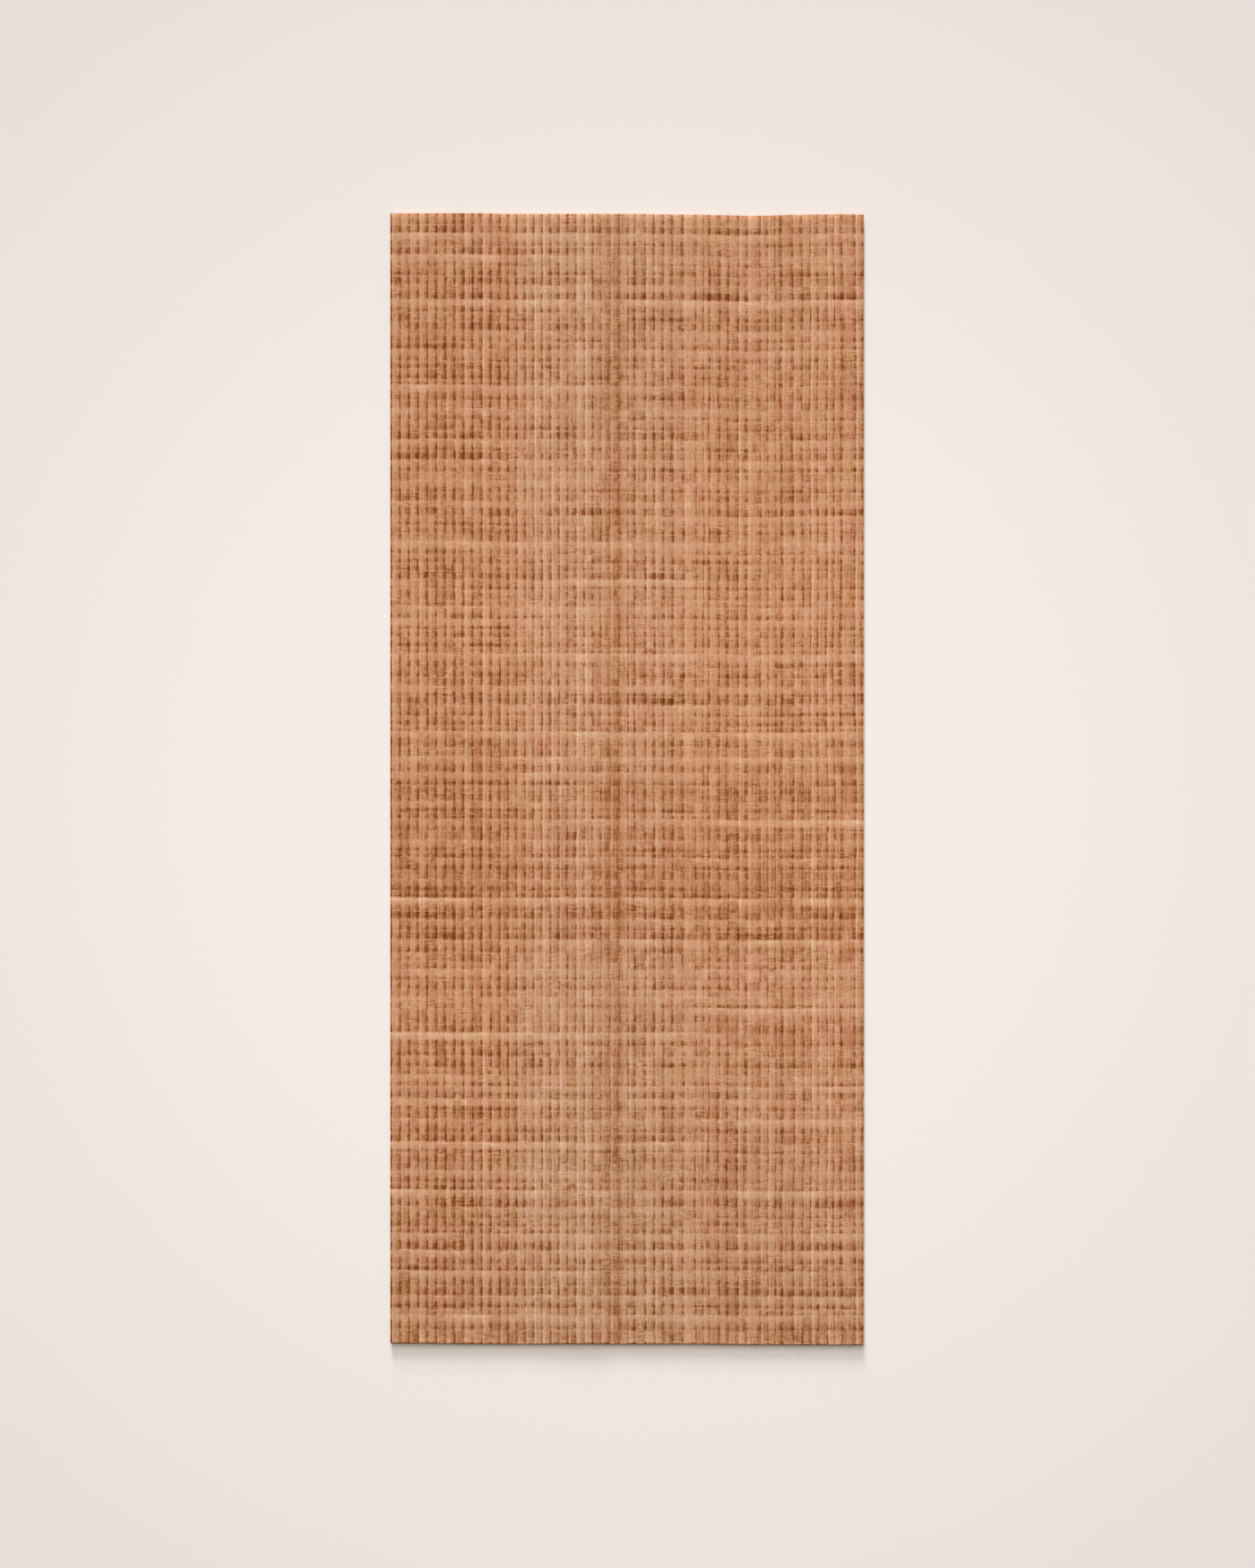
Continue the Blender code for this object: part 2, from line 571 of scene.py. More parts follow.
    def rows(self) -> list[Row]:
        """List the crosswise lines of points, from the far end to the near one.

        Returns:
            The lines, with the rolled ends first and last.
        """
        streaks = self.streaks()
        lines = [Row(roll.inset, 0.0) for roll in self.edge_rolls]
        for index, streak in enumerate(streaks):
            for point in STREAK_SECTIONS[streak.weight]:
                at = (streak.from_far_end_mm + point.past_line_mm) * MM
                self.fill_rows(lines, at, index + 1.0)
                if at > lines[-1].from_far_end + self.least_row_gap:
                    line = index + (self.hollow_line if point.hollow else 1.0)
                    lines.append(Row(at, line, point.pale, point.hollow, streak))
        last = len(streaks) + 1.0
        hem = self.length - self.hem_inset
        self.fill_rows(lines, hem, last)
        lines.append(Row(hem, last))
        lines.append(Row(self.length - self.hem_crest, last, lift=self.hem_rise))
        lines += [Row(self.length - roll.inset, last) for roll in reversed(self.edge_rolls)]
        return lines

    def fill_rows(self, lines: list[Row], until: float, next_line: float) -> None:
        """Add plain rows where the last one is too far from the next.

        Args:
            lines: The rows so far, which this adds to.
            until: Where the next row will be, from the far end.
            next_line: The next row's streak line.
        """
        last = lines[-1]
        count = math.ceil((until - last.from_far_end) / self.widest_row_gap)
        for k in range(1, count):
            share = k / count
            at = between(last.from_far_end, until, share)
            lines.append(Row(at, between(last.streak_line, next_line, share)))

    def fold_lift(self, x: float) -> float:
        """Give the height of the packing fold's ridge and crease.

        Args:
            x: The place across.

        Returns:
            The ridge's height, less the crease's depth.
        """
        across = x - self.fold_ridge_at
        if across < 0.0:
            return self.fold_ridge_rise * ease(1.0 + across / self.fold_left_reach)
        fall = ease(across / self.fold_right_reach)
        recovery = ease(across / self.fold_right_reach - 1.0)
        crease = self.fold_crease_drop * (fall - recovery)
        return self.fold_ridge_rise * (1.0 - fall) - crease

    def end_draw(self, x: float) -> tuple[float, float]:
        """Give how far the two ends draw in.

        Args:
            x: The place across.

        Returns:
            How far the far end draws in, and how far the near one.
        """
        marks = [point.from_left_mm for point in END_LINE]
        index, share = bracket(marks, (x - self.low.x) / MM)
        before, after = END_LINE[index], END_LINE[index + 1]
        return (
            between(before.far_draw_mm, after.far_draw_mm, share) * MM,
            between(before.near_draw_mm, after.near_draw_mm, share) * MM,
        )

    def dye_and_shade(self, x: float, along: float) -> tuple[float, float, float]:
        """Read the two charts of dyed tone and painted shade at one place.

        Args:
            x: The place across.
            along: How far the place is from the far end.

        Returns:
            How pale the tone is with its painted shade, how far the painted groove shade
            fades, and how gray the cloth is there.
        """
        tone = groove_shade_fade = gray = 0.0
        for chart, at in ((DYE_AND_SHADE_ALONG, along), (DYE_AND_SHADE_ACROSS, x - self.low.x)):
            index, share = bracket([point.at_mm for point in chart], at / MM)
            before, after = chart[index], chart[index + 1]
            tone += between(before.tone, after.tone, share)
            groove_shade_fade += between(before.groove_shade_fade, after.groove_shade_fade, share)
            gray += between(before.gray, after.gray, share)
        return tone, groove_shade_fade, gray

    def strength(self, streak: Streak, x: float) -> float:
        """Give how strong a streak's thread is at one place across.

        Args:
            streak: The streak.
            x: The place across.

        Returns:
            Its strength, where 1 is a full one.
        """
        share = (x - self.low.x) / self.width
        side = 2.0 * share - 1.0
        edge = streak.left if side < 0.0 else streak.right
        charted = between(streak.middle, edge, ease(abs(side) * self.side_pull))
        own = streak.from_far_end_mm * self.strength_wave_step
        swing = self.streak_swing * self.strength_waves.at(x, own)
        return max(charted * (1.0 + swing), 0.0) / self.full_strength

    def hollowness(self, streak: Streak, x: float) -> float:
        """Give how deep a streak's hollow is, and how dark its painted shade, at one place
        across.

        Args:
            streak: The streak.
            x: The place across.

        Returns:
            Its depth, where 1 is a plain hollow's.
        """
        share = ease((x - self.low.x) / self.width)
        charted = between(streak.hollow_left, streak.hollow_right, share)
        own = streak.from_far_end_mm * self.hollow_wave_step
        swing = self.streak_swing * self.hollow_waves.at(x, own)
        return max(charted * (self.hollow_level + swing), 0.0) / self.full_hollow

    def roll_height(self, place: int, last: int) -> float:
        """Give the height that an edge's roll allows a line of points.

        Args:
            place: The line's number.
            last: The last line's number.

        Returns:
            The rolled edge's height, or the crest's away from the edges.
        """
        step = min(place, last - place)
        if step < len(self.edge_rolls):
            return self.edge_rolls[step].height
        return CREST_HEIGHT

    def weave(self) -> bpy.types.Object:
        """Model the sheet and give its points their weave coordinates.

        Returns:
            The cloth, as an object at the origin.
        """
        columns, rows = self.columns(), self.rows()
        sheet = bmesh.new()
        bmesh.ops.create_grid(
            sheet, x_segments=len(columns) - 1, y_segments=len(rows) - 1, size=0.5
        )
        marks = {name: sheet.verts.layers.float.new(name) for name in MARKS}
        for vertex in sheet.verts:
            i = round((vertex.co.x + 0.5) * (len(columns) - 1))
            j = round((0.5 - vertex.co.y) * (len(rows) - 1))
            roll = min(
                self.roll_height(i, len(columns) - 1), self.roll_height(j, len(rows) - 1)
            )
            self.place_point(vertex, columns[i], rows[j], roll, marks)
        self.write_weave_map(sheet, marks)
        self.close_underside(sheet)
        mesh = bpy.data.meshes.new(self.name)
        sheet.to_mesh(mesh)
        sheet.free()
        mesh.shade_smooth()
        cloth = bpy.data.objects.new(self.name, mesh)
        bpy.context.scene.collection.objects.link(cloth)
        log.info("%s: %d lines by %d rows", self.name, len(columns), len(rows))
        return cloth

    def place_point(
        self,
        vertex: bmesh.types.BMVert,
        column: Column,
        row: Row,
        roll: float,
        marks: dict[str, bmesh.types.BMLayerItem],
    ) -> None:
        """Move one point of the flat grid to its rib and streak, and mark it.

        Args:
            vertex: The point.
            column: Its lengthwise line.
            row: Its crosswise line.
            roll: The height that the rolled edges allow it.
            marks: The layers that keep what the finish reads.
        """
        force = self.strength(row.streak, column.x)
        hollow = row.hollow * self.hollowness(row.streak, column.x)
        body = self.body_height(column, row, row.pale * force, hollow)
        height = body if roll == CREST_HEIGHT else min(body, roll)
        vertex.co = (*self.spread(column, row), height)
        tone, groove_shade_fade, gray = self.dye_and_shade(column.x, row.from_far_end)
        # The groove mark is painted shade in the grooves, which the fade lessens.
        groove_shade = (1.0 - column.rise) * column.groove / self.deep_groove
        vertex[marks["groove"]] = groove_shade * (1.0 - groove_shade_fade)
        vertex[marks["pale"]] = row.pale
        vertex[marks["hollow"]] = hollow
        vertex[marks["force"]] = force
        vertex[marks["dye_and_shade"]] = tone
        vertex[marks["gray"]] = gray
        vertex[marks["rib_line"]] = column.rib_line
        vertex[marks["streak_line"]] = row.streak_line

    def body_height(self, column: Column, row: Row, pale: float, hollow: float) -> float:
        """Give how high a point of the cloth stands before its edges are rolled.

        Args:
            column: The point's lengthwise line.
            row: The point's crosswise line.
            pale: How strong the streak's thread is there.
            hollow: How deep the streak's hollow is there.

        Returns:
            The height over the floor.
        """
        x, along = column.x, row.from_far_end
        rib = math.ceil(column.rib_line)
        worn = self.groove_waves.at(rib * self.groove_wave_step, along)
        depth = column.groove * (self.groove_level + self.groove_swing * worn)
        depth *= 1.0 - self.thread_fill * row.pale
        depth *= 1.0 + self.hollow_dip * hollow
        lump = self.lumps.at(x, along)
        lump += self.fine_lump_share * self.fine_lumps.at(x, along)
        relief = self.full_strength * self.thread_rise * pale
        relief -= self.full_hollow * self.hollow_drop * hollow
        relief += self.lump_rise * lump + self.fold_lift(x)
        relief += row.lift
        return CREST_HEIGHT - depth * (1.0 - column.rise) + relief

    def spread(self, column: Column, row: Row) -> tuple[float, float]:
        """Give a point's place over the floor, with its yarns' own straying.

        Args:
            column: The point's lengthwise line.
            row: The point's crosswise line.

        Returns:
            The point's X and Y.
        """
        x, along = column.x, row.from_far_end
        far_draw, near_draw = self.end_draw(x)
        near_draw += self.scallop * (1.0 - column.rise)
        scale = (self.length - far_draw - near_draw) / self.length
        sway = self.waver * self.waver_waves.at(x, along)
        sway *= ease(min(along, self.length - along) / self.edge_hold)
        stray = self.wander_waves.at(x, along)
        stray *= self.wander * between(self.left_wander, 1.0, ease(x / self.wander_reach))
        stray *= ease(min(x - self.low.x, self.high.x - x) / self.edge_hold)
        return x + stray, self.high.y - far_draw - along * scale + sway

    def write_weave_map(
        self, sheet: bmesh.types.BMesh, marks: dict[str, bmesh.types.BMLayerItem]
    ) -> None:
        """Write the UV map whose U counts the ribs and V counts the streaks.

        Args:
            sheet: The cloth.
            marks: The layers that keep what the finish reads.
        """
        weave = sheet.loops.layers.uv.new(WEAVE_MAP)
        for face in sheet.faces:
            for loop in face.loops:
                point = loop.vert
                loop[weave].uv = (point[marks["rib_line"]], point[marks["streak_line"]])

    def close_underside(self, sheet: bmesh.types.BMesh) -> None:
        """Turn the rim under and close the flat underside on the floor.

        Args:
            sheet: The cloth, open below.
        """
        rim = [edge for edge in sheet.edges if edge.is_boundary]
        turned = bmesh.ops.extrude_edge_only(sheet, edges=rim)["geom"]
        for point in (p for p in turned if isinstance(p, bmesh.types.BMVert)):
            point.co.x *= 1.0 - 2.0 * self.underside_inset / self.width
            point.co.y *= 1.0 - 2.0 * self.underside_inset / self.length
            point.co.z = self.low.z
        hem = [edge for edge in sheet.edges if edge.is_boundary]
        underside = bmesh.ops.holes_fill(sheet, edges=hem, sides=0)["faces"]
        flat = bmesh.ops.triangulate(
            sheet, faces=underside, quad_method="BEAUTY", ngon_method="BEAUTY"
        )["faces"]
        for face in flat:
            face.material_index = Side.UNDERSIDE.value
        bmesh.ops.recalc_face_normals(sheet, faces=sheet.faces)


@dataclass(frozen=True)
class Grain:
    """One kind of yarn mark.

    It says how many marks there are in a metre each way, how ragged they are,
    and the values that they run between, which are 0 and 1 where none is named.
    """

    across: float
    along: float
    detail: float = 2.0
    span: Optional[Span] = None
    roughness: float = 0.55


class Graph:
    """Adds and joins nodes in the tree of one material or node group."""

    def __init__(self, tree: bpy.types.NodeTree) -> None:
        """Keep the tree that the nodes go into."""
        self.tree = tree

    def node(self, kind: str, **settings: object) -> bpy.types.Node:
        """Add a node and set its properties.

        Args:
            kind: Blender's name for the node's type.
            **settings: The properties to set on it.

        Returns:
            The node.
        """
        made = self.tree.nodes.new(kind)
        for name, value in settings.items():
            setattr(made, name, value)
        return made

    def feed(self, socket: bpy.types.NodeSocket, value: Feed) -> None:
        """Join a socket to another, or set it to a value.

        Args:
            socket: The input.
            value: The output to join it to, or what to set it to.
        """
        if isinstance(value, bpy.types.NodeSocket):
            self.tree.links.new(value, socket)
        else:
            socket.default_value = value

    def math(self, operation: str, *values: Feed, clamp: bool = False) -> Feed:
        """Add a Math node.

        Args:
            operation: Blender's name for the sum.
            *values: What goes into it, in order.
            clamp: Whether the result is kept from 0 to 1.

        Returns:
            The node's output.
        """
        made = self.node("ShaderNodeMath", operation=operation, use_clamp=clamp)
        for socket, value in zip(made.inputs, values):
            self.feed(socket, value)
        return made.outputs[0]

    def product(self, result: Feed, *factors: Feed) -> Feed:
        """Multiply values together.

        Args:
            result: The first value.
            *factors: What it is multiplied by, in order.

        Returns:
            The product.
        """
        for factor in factors:
            result = self.math("MULTIPLY", result, factor)
        return result

    def total(self, *parts: tuple[Feed, float]) -> Feed:
        """Add up values, each times its own weight.

        Args:
            *parts: Pairs of a value and its weight.

        Returns:
            The sum.
        """
        result: Feed = 0.0
        for value, weight in parts:
            result = self.math("MULTIPLY_ADD", value, weight, result)
        return result

    def blend(self, parts: dict[str, Feed], weights: Weights) -> Feed:
        """Add up the values that the weights name."""
        return self.total(*((parts[name], weight) for name, weight in weights))

    def swing(self, value: Feed, low: float, high: float, clamp: bool = False) -> Feed:
        """Stretch a value from 0 to 1 to a value from low to high."""
        return self.math("MULTIPLY_ADD", value, high - low, low, clamp=clamp)

    def centre(self, value: Feed) -> Feed:
        """Shift a value from 0 to 1 so that it swings about 0."""
        return self.math("SUBTRACT", value, 0.5)

    def stretch(self, vector: Feed, scale: Sequence[float]) -> Feed:
        """Scale a vector along each axis.

        Args:
            vector: The vector.
            scale: What each axis is multiplied by.

        Returns:
            The scaled vector.
        """
        made = self.node("ShaderNodeMapping", vector_type="POINT")
        self.feed(made.inputs["Vector"], vector)
        made.inputs["Scale"].default_value = scale
        return made.outputs["Vector"]

    def grain(self, vector: Feed, grain: Grain) -> Feed:
        """Add noise whose marks have a size of their own along each axis.

        Args:
            vector: The place it is read at.
            grain: The marks' sizes and values.

        Returns:
            The noise, mostly near the middle of its span.
        """
        made = self.node("ShaderNodeTexNoise", noise_dimensions="2D")
        scale = (grain.across, grain.along, 1.0)
        self.feed(made.inputs["Vector"], self.stretch(vector, scale))
        made.inputs["Scale"].default_value = 1.0
        made.inputs["Detail"].default_value = grain.detail
        made.inputs["Roughness"].default_value = grain.roughness
        marks = made.outputs["Fac"]
        return self.swing(marks, *grain.span) if grain.span else marks

    def chance(self, x: Feed, y: Feed) -> Feed:
        """Give each pair of whole numbers its own value from 0 to 1.

        Args:
            x: The first number.
            y: The second number.

        Returns:
            The value.
        """
        made = self.node("ShaderNodeTexWhiteNoise", noise_dimensions="2D")
        self.feed(made.inputs["Vector"], self.pair(x, y))
        return made.outputs["Value"]

    def pair(self, x: Feed, y: Feed) -> Feed:
        """Put two values together into a place on a plane.

        Args:
            x: The place across.
            y: The place along.

        Returns:
            The place, as a vector.
        """
        made = self.node("ShaderNodeCombineXYZ")
        self.feed(made.inputs["X"], x)
        self.feed(made.inputs["Y"], y)
        return made.outputs["Vector"]

    def split(self, vector: Feed) -> tuple[Feed, Feed]:
        """Take a vector's first two values apart.

        Args:
            vector: The vector.

        Returns:
            Its X and its Y.
        """
        made = self.node("ShaderNodeSeparateXYZ")
        self.feed(made.inputs["Vector"], vector)
        return made.outputs["X"], made.outputs["Y"]

    def ramp(self, value: Feed, stops: Sequence[tuple[float, Color]]) -> Feed:
        """Turn a value into a colour.

        Args:
            value: The value, from 0 to 1.
            stops: Places along the ramp, and the colour at each.

        Returns:
            The colour.
        """
        made = self.node("ShaderNodeValToRGB")
        elements = made.color_ramp.elements
        while len(elements) < len(stops):
            elements.new(1.0)
        for element, (place, color) in zip(elements, stops):
            element.position = place
            element.color = color
        self.feed(made.inputs["Fac"], value)
        return made.outputs["Color"]

    def gray_ramp(self, value: Feed, stops: Tones) -> Feed:
        """Turn a value from 0 to 1 into a gray tone."""
        return self.ramp(value, [(at, (tone, tone, tone, 1.0)) for at, tone in stops])

    def tint(self, factor: Feed, base: Feed, color: Color) -> Feed:
        """Multiply one colour by another.

        Args:
            factor: How much of the second one shows, from 0 to 1.
            base: The first colour.
            color: The second colour.

        Returns:
            The tinted colour.
        """
        made = self.node("ShaderNodeMix", data_type="RGBA", blend_type="MULTIPLY")
        self.feed(made.inputs[MIX_FACTOR], factor)
        self.feed(made.inputs[MIX_BASE], base)
        self.feed(made.inputs[MIX_COLOR], color)
        return made.outputs[MIX_RESULT]

    def mark(self, name: str) -> Feed:
        """Read one of the cloth's own marks."""
        return self.node("ShaderNodeAttribute", attribute_name=name).outputs["Fac"]


@dataclass(frozen=True)
class FibreGroup:
    """The fibres of the yarn, which both faces of the cloth show."""

    name: str = "Yarn fibres"
    warp: Grain = Grain(280.0, 14.0, 1.0)
    fray: Grain = Grain(340.0, 105.0, 1.0)
    weft: Grain = Grain(75.0, 320.0, 1.0)
    patch: Grain = Grain(28.0, 26.0, 1.0)

    def build(self) -> bpy.types.NodeTree:
        """Make the node group once.

        Returns:
            The group, whose outputs are the long warp yarns, the frayed short
            ones, the crosswise weft and the patches where the weft shows.
        """
        tree = bpy.data.node_groups.new(self.name, "ShaderNodeTree")
        tree.interface.new_socket("Place", in_out="INPUT", socket_type="NodeSocketVector")
        grains = {
            "Warp": self.warp,
            "Fray": self.fray,
            "Weft": self.weft,
            "Patch": self.patch,
        }
        for name in grains:
            tree.interface.new_socket(
                name, in_out="OUTPUT", socket_type="NodeSocketFloat"
            )
        graph = Graph(tree)
        place = graph.node("NodeGroupInput").outputs["Place"]
        out = graph.node("NodeGroupOutput")
        for name, grain in grains.items():
            graph.feed(out.inputs[name], graph.grain(place, grain))
        return tree


@dataclass(frozen=True)
class ClothFinish:
    """The colours and surface of the rug's cloth, with painted light and shade on its ribs
    and painted shade in its grooves and hollows.

    A span holds the two values that something from 0 to 1 is stretched between,
    and the weights say how much each mark adds to a tone or to the relief.
    """

    # The colours from the painted shade of the deepest groove to the palest
    # thread, and their places on the tone's ramp.
    deep: Color = srgb(108, 54, 17)
    dark: Color = srgb(148, 89, 46)
    mid: Color = srgb(190, 138, 101)
    light: Color = srgb(208, 162, 128)
    palest: Color = srgb(228, 190, 158)
    face_places: tuple[float, ...] = (0.0, 0.25, 0.5, 0.72, 1.0)
    underside_places: tuple[float, ...] = (0.0, 0.45, 1.0)

    # The slow drift of its hue.
    olive: Color = (0.985, 1.01, 0.94, 1.0)
    rose: Color = (1.02, 0.97, 1.0, 1.0)
    grayed: Color = (0.95, 1.03, 1.13, 1.0)
    drift: Grain = Grain(18.0, 14.0, 2.0)
    drift_span: Span = (-2.1, 1.9)

    # A rib's ragged sides, the painted light and shade over its section (darker towards its
    # grooves, lighter on its left), and the painted highlight down its left side.
    stray: Grain = Grain(210.0, 40.0, 2.0)
    stray_width: float = 0.16
    section: Tones = ((0.05, 0.425), (0.17, 0.49), (0.5, 0.49), (0.85, 0.465), (1.0, 0.43))
    painted_highlight: Tones = ((0.16, 0.0), (0.22, 1.0), (0.30, 1.0), (0.42, 0.0))
    length: Grain = Grain(80.0, 4.0, 1.0, (-1.2, 1.8))
    own_layer: float = 7.0
    own_tone: float = 0.07
    own_power: float = 3.0
    painted_highlight_own: float = 0.16
    painted_highlight_length: float = 0.075

    # What breaks up the painted shade in the grooves and the hollows, and the pale bands.
    block: Grain = Grain(0.16, 5.37, 1.0, (-1.6, 3.6))
    groove_shade_breakup: Grain = Grain(85.0, 75.0, 2.0, (-0.9, 2.9))
    speck: Grain = Grain(460.0, 420.0, 1.0, (0.1, 1.9))
    ragged: Grain = Grain(55.0, 14.0, 2.0, (0.3, 1.7))
    reach: Grain = Grain(11.0, 45.0, 2.0, (-1.6, 2.8))
    least_blot: float = 0.15
    least_reach: float = 0.25
    force_span: Span = (0.6, 1.25)
    hollow_span: Span = (0.4, 1.7)
    bury_span: Span = (0.62, 1.5)
    buried_groove: float = 0.08
    dark_block: float = 0.66
    hollow_groove_shade: float = 1.6
    groove_limit: float = 1.5
    thread_power: float = 9.0

    # What each mark and yarn adds, on the face and on the underside.
    bare_span: Span = (-1.6, 2.4)
    covered_weft: float = 0.25
    # Tone weights: section is painted light and shade over each rib, groove is painted
    # shade in the grooves and hollow is painted shade in the hollows.
    face_weights: Weights = (
        ("section", 1.0),
        ("dye_and_shade", 1.0),
        ("cell", 0.14),
        ("warp", 0.27),
        ("fray", 0.32),
        ("weft", 0.41),
        ("groove", -0.60),
        ("band", 0.19),
        ("thread", 0.12),
        ("hollow", -0.07),
    )
    face_relief: Weights = (("warp", 1.0), ("fray", 0.8), ("weft", 1.2))
    weave_waves: tuple[float, float, float] = (1500.0, 1100.0, 1.0)
    underside_weights: Weights = (
        ("over", 0.16),
        ("Fray", 0.3),
        ("Weft", 0.3),
        ("Patch", 0.2),
    )
    underside_relief: Weights = (("over", 0.6), ("Fray", 0.4), ("Weft", 0.4))

    # The surface of the yarn itself.
    roughness: float = 0.9
    specular: float = 0.2
    sheen: float = 0.05
    sheen_roughness: float = 0.6
    bump_depth: float = 0.0004
    bump_strength: float = 0.45

    def face(self, fibres: bpy.types.NodeTree) -> bpy.types.Material:
        """Make the material of the ribbed face.

        Args:
            fibres: The yarn's fibre group.

        Returns:
            The material.
        """
        material, graph, shader = self.start("Ribbed cloth face")
        place = graph.node("ShaderNodeTexCoord").outputs["Object"]
        yarn = self.add_fibres(graph, fibres, place)
        bare = graph.swing(yarn["Patch"], *self.bare_span, clamp=True)
        shown = graph.swing(bare, self.covered_weft, 1.0)
        parts = self.shaded_weave_marks(graph, place)
        # The dyed tone, with the painted shade of the fold's crease and the far end.
        parts["dye_and_shade"] = graph.mark("dye_and_shade")
        parts["warp"] = graph.centre(yarn["Warp"])
        parts["fray"] = graph.centre(yarn["Fray"])
        parts["weft"] = graph.product(graph.centre(yarn["Weft"]), shown)
        tone = graph.blend(parts, self.face_weights)
        colors = (self.deep, self.dark, self.mid, self.light, self.palest)
        color = graph.ramp(tone, list(zip(self.face_places, colors)))
        graph.feed(shader.inputs["Base Color"], self.hue_drift(graph, place, color))
        self.finish_bump(graph, shader, graph.blend(parts, self.face_relief))
        return material

    def shaded_weave_marks(self, graph: Graph, place: Feed) -> dict[str, Feed]:
        """Read the weave's marks, painted light and shade among them, and break them up
        into uneven yarn marks.

        Args:
            graph: The material's graph.
            place: The place on the cloth.

        Returns:
            The rib's painted light and shade, the cell's chance tone, and how far
            the point is in a groove's painted shade, a pale band, a bright thread or
            a hollow's painted shade.
        """
        weave = graph.node("ShaderNodeUVMap", uv_map=WEAVE_MAP).outputs["UV"]
        across, along = graph.split(weave)
        stray = graph.grain(place, self.stray)
        line = graph.total((across, 1.0), (stray, self.stray_width))
        line = graph.math("SUBTRACT", line, self.stray_width / 2)
        rib, streak = graph.math("FLOOR", line), graph.math("FLOOR", along)
        reach = graph.grain(place, self.reach)
        reach = graph.math("MAXIMUM", reach, self.least_reach)
        own_force, pale = graph.mark("force"), graph.mark("pale")
        force = graph.product(own_force, graph.swing(reach, *self.force_span))
        ragged = graph.grain(place, self.ragged)
        # Painted shade in the hollow on the far side of each streak.
        hollow = graph.product(
            graph.mark("hollow"), ragged, graph.swing(reach, *self.hollow_span)
        )
        block = graph.grain(graph.pair(line, streak), self.block)
        block = graph.math("MAXIMUM", block, self.least_blot)
        dark = graph.total((block, self.dark_block), (hollow, self.hollow_groove_shade))
        groove_shade_breakup = graph.math("MAXIMUM", graph.grain(place, self.groove_shade_breakup), self.least_blot)
        groove_shade_breakup = graph.product(groove_shade_breakup, graph.grain(place, self.speck))
        bury = graph.swing(force, *self.bury_span)
        bury = graph.math("MULTIPLY", pale, bury, clamp=True)
        buried = graph.swing(bury, 1.0, self.buried_groove)
        # Painted shade in the grooves: broken into dashes, lighter under pale threads,
        # darker in the hollows.
        groove = graph.product(graph.mark("groove"), groove_shade_breakup, buried, dark)
        limit = graph.math("MULTIPLY_ADD", groove, self.groove_limit, 1.0)
        bright = graph.math("POWER", pale, self.thread_power)
        return {
            "section": self.painted_rib_light(graph, place, line, rib),
            "cell": graph.centre(graph.chance(rib, streak)),
            "groove": graph.math("DIVIDE", groove, limit),
            "band": graph.product(pale, force),
            "thread": graph.product(bright, force, own_force),
            "hollow": hollow,
        }

    def painted_rib_light(self, graph: Graph, place: Feed, line: Feed, rib: Feed) -> Feed:
        """Paint light and shade over a rib's section, with a painted highlight down some of
        it.

        Args:
            graph: The material's graph.
            place: The place on the cloth.
            line: The place across, counted in ribs.
            rib: The rib's number.

        Returns:
            The tone.
        """
        within = graph.math("FRACT", line)
        own = graph.chance(rib, self.own_layer)
        tone = graph.gray_ramp(within, self.section)
        tone = graph.math("MULTIPLY_ADD", own, self.own_tone, tone)
        # The pale here is how strong the painted highlight is on this rib.
        pale = graph.total(
            (graph.math("POWER", own, self.own_power), self.painted_highlight_own),
            (graph.grain(place, self.length), self.painted_highlight_length),
        )
        painted_highlight = graph.product(graph.gray_ramp(within, self.painted_highlight), pale)
        return graph.math("ADD", tone, painted_highlight)

    def hue_drift(self, graph: Graph, place: Feed, color: Feed) -> Feed:
        """Let the colour drift a little towards olive and rose from place to place.

        Args:
            graph: The material's graph.
            place: The place on the cloth.
            color: The colour before the drift.

        Returns:
            The colour after it.
        """
        drift = graph.grain(place, self.drift)
        low, high = self.drift_span
        color = graph.tint(graph.swing(drift, low, high, clamp=True), color, self.olive)
        color = graph.tint(graph.mark("gray"), color, self.grayed)
        return graph.tint(graph.swing(drift, high, low, clamp=True), color, self.rose)

    def underside(self, fibres: bpy.types.NodeTree) -> bpy.types.Material:
        """Make the material of the plain woven underside.

        Args:
            fibres: The yarn's fibre group.

        Returns:
            The material.
        """
        material, graph, shader = self.start("Plain cloth underside")
        place = graph.node("ShaderNodeTexCoord").outputs["Object"]
        parts = self.add_fibres(graph, fibres, place)
        across, along = graph.split(graph.stretch(place, self.weave_waves))
        parts["over"] = graph.product(
            graph.math("SINE", across), graph.math("SINE", along)
        )
        tone = graph.blend(parts, self.underside_weights)
        colors = (self.dark, self.mid, self.light)
        color = graph.ramp(tone, list(zip(self.underside_places, colors)))
        graph.feed(shader.inputs["Base Color"], color)
        self.finish_bump(graph, shader, graph.blend(parts, self.underside_relief))
        return material

    def start(self, name: str) -> tuple[bpy.types.Material, Graph, bpy.types.Node]:
        """Make a material with the cloth's plain settings.

        Args:
            name: The material's name.

        Returns:
            The material, its graph and its shader.
        """
        material = bpy.data.materials.new(name)
        material.use_nodes = True
        shader = material.node_tree.nodes["Principled BSDF"]
        shader.inputs["Metallic"].default_value = 0.0
        shader.inputs["Roughness"].default_value = self.roughness
        shader.inputs["Specular IOR Level"].default_value = self.specular
        shader.inputs["Sheen Weight"].default_value = self.sheen
        shader.inputs["Sheen Roughness"].default_value = self.sheen_roughness
        shader.inputs["Sheen Tint"].default_value = self.light
        return material, Graph(material.node_tree), shader

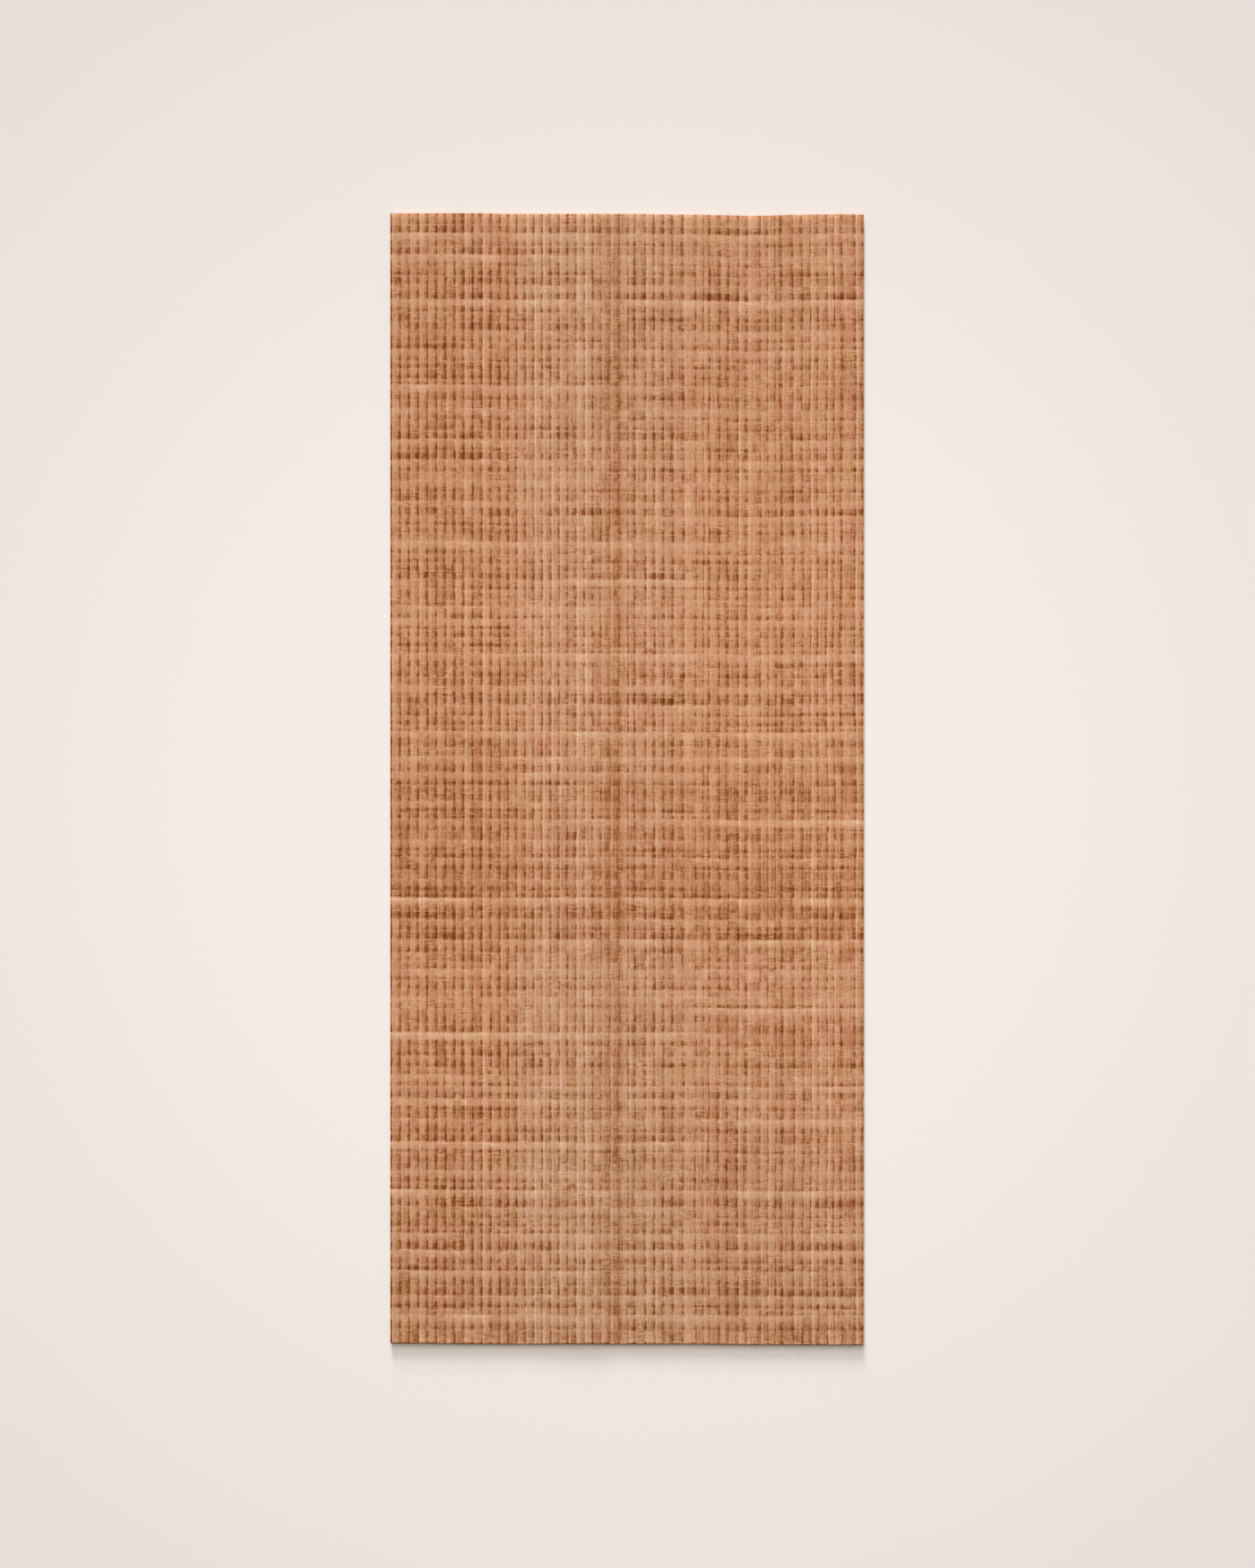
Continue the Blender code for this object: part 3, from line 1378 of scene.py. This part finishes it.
    def add_fibres(
        self, graph: Graph, fibres: bpy.types.NodeTree, place: Feed
    ) -> dict[str, Feed]:
        """Place the fibre group in a material.

        Args:
            graph: The material's graph.
            fibres: The yarn's fibre group.
            place: The place on the cloth.

        Returns:
            The group's outputs, by name.
        """
        node = graph.node("ShaderNodeGroup", node_tree=fibres)
        graph.feed(node.inputs["Place"], place)
        return {socket.name: socket for socket in node.outputs}

    def finish_bump(self, graph: Graph, shader: bpy.types.Node, height: Feed) -> None:
        """Raise the fibres a little.

        Args:
            graph: The material's graph.
            shader: The material's shader.
            height: How high the fibres stand.
        """
        bump = graph.node("ShaderNodeBump")
        bump.inputs["Strength"].default_value = self.bump_strength
        bump.inputs["Distance"].default_value = self.bump_depth
        graph.feed(bump.inputs["Height"], height)
        graph.feed(shader.inputs["Normal"], bump.outputs["Normal"])


@dataclass(frozen=True)
class FarLamp:
    """A far lamp: where it shines from, and how bright and how soft it is."""

    name: str
    from_right: float
    height: float
    power: float
    softness: float


@dataclass
class Studio:
    """The pale floor, the soft lights and the camera above the rug."""

    floor_size: float = 90.0
    floor_drop: float = 0.0004
    floor_color: Color = srgb(237, 233, 231)
    room_color: Color = srgb(255, 244, 229)
    window_color: Color = srgb(251, 251, 253)
    sky_power: float = 0.15
    backdrop_power: float = 0.72
    ceiling_height: float = 2.7
    ceiling_size: float = 1.4
    ceiling_power: float = 28.2
    lens: float = 85.0
    sensor: float = 36.0
    view_height: float = 2.523
    aim_x: float = 0.0006
    aim_y: float = -0.0075
    sight: float = 50.0
    floor_roughness: float = 0.95
    lamp_distance: float = 5.0
    lamps: tuple[FarLamp, ...] = (
        FarLamp("low_window", 95.0, 14.5, 3.8, 17.0),
        FarLamp("high_window", 98.0, 41.0, 1.4, 36.0),
    )

    def build(self) -> None:
        """Set up the whole studio."""
        self.lay_floor()
        self.hang_sky()
        for lamp in self.lamps:
            self.hang_far_lamp(lamp)
        self.hang_ceiling_lamp()
        self.set_camera()
        bpy.context.scene.view_settings.view_transform = "Standard"

    def lay_floor(self) -> None:
        """Lay the floor just under the rug."""
        sheet = bmesh.new()
        level = CAD_BOX[0].z - self.floor_drop
        bmesh.ops.create_grid(
            sheet, x_segments=1, y_segments=1, size=self.floor_size / 2
        )
        bmesh.ops.translate(sheet, verts=sheet.verts, vec=(0.0, 0.0, level))
        mesh = bpy.data.meshes.new("floor")
        sheet.to_mesh(mesh)
        sheet.free()
        material = bpy.data.materials.new("Pale floor")
        material.use_nodes = True
        shader = material.node_tree.nodes["Principled BSDF"]
        shader.inputs["Base Color"].default_value = self.floor_color
        shader.inputs["Roughness"].default_value = self.floor_roughness
        shader.inputs["Specular IOR Level"].default_value = 0.0
        mesh.materials.append(material)
        floor = bpy.data.objects.new("floor", mesh)
        bpy.context.scene.collection.objects.link(floor)

    def hang_sky(self) -> None:
        """Light everything evenly from all round, before a paler backdrop."""
        world = bpy.data.worlds.new("Studio")
        world.use_nodes = True
        back = world.node_tree.nodes["Background"]
        back.inputs["Color"].default_value = self.room_color
        graph = Graph(world.node_tree)
        seen = graph.node("ShaderNodeLightPath").outputs["Is Camera Ray"]
        power = graph.swing(seen, self.sky_power, self.backdrop_power)
        graph.feed(back.inputs["Strength"], power)
        bpy.context.scene.world = world

    def hang_far_lamp(self, lamp: FarLamp) -> None:
        """Hang one far lamp.

        Args:
            lamp: The lamp's place and light.
        """
        light = bpy.data.lights.new(lamp.name, "SUN")
        light.energy = lamp.power
        light.angle = math.radians(lamp.softness)
        light.color = self.window_color[:3]
        around, up = math.radians(lamp.from_right), math.radians(lamp.height)
        level = math.cos(up)
        towards = Vector((math.cos(around) * level, math.sin(around) * level, math.sin(up)))
        holder = bpy.data.objects.new(lamp.name, light)
        holder.location = towards * self.lamp_distance
        holder.rotation_euler = towards.to_track_quat("Z", "Y").to_euler()
        bpy.context.scene.collection.objects.link(holder)

    def hang_ceiling_lamp(self) -> None:
        """Hang the soft lamp overhead, which the camera looks through."""
        light = bpy.data.lights.new("ceiling_lamp", "AREA")
        light.shape = "DISK"
        light.size = self.ceiling_size
        light.energy = self.ceiling_power
        light.color = self.room_color[:3]
        holder = bpy.data.objects.new("ceiling_lamp", light)
        holder.location = (0.0, 0.0, self.ceiling_height)
        holder.visible_camera = False
        bpy.context.scene.collection.objects.link(holder)

    def set_camera(self) -> None:
        """Hang the camera over the rug, looking straight down."""
        data = bpy.data.cameras.new("camera")
        data.lens = self.lens
        data.sensor_width = self.sensor
        data.clip_end = self.sight
        camera = bpy.data.objects.new("camera", data)
        above = self.view_height * self.lens / self.sensor
        camera.location = (self.aim_x, self.aim_y, CREST_HEIGHT + above)
        bpy.context.scene.collection.objects.link(camera)
        bpy.context.scene.camera = camera


def dress_rug() -> bpy.types.Object:
    """Weave the cloth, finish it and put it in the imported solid's place.

    Returns:
        The cloth.
    """
    pattern = RibbedCloth()
    cloth = pattern.weave()
    fibres = FibreGroup().build()
    finish = ClothFinish()
    finishes = {Side.FACE: finish.face(fibres), Side.UNDERSIDE: finish.underside(fibres)}
    for side in Side:
        cloth.data.materials.append(finishes[side])
    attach(cloth, "root")
    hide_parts(pattern.node)
    return cloth


def main() -> None:
    """Build the studio and dress the rug in it."""
    logging.basicConfig(level=logging.INFO)
    Studio().build()
    cloth = dress_rug()
    log.info("%s: %d faces", cloth.name, len(cloth.data.polygons))


if __name__ == "__main__":
    main()
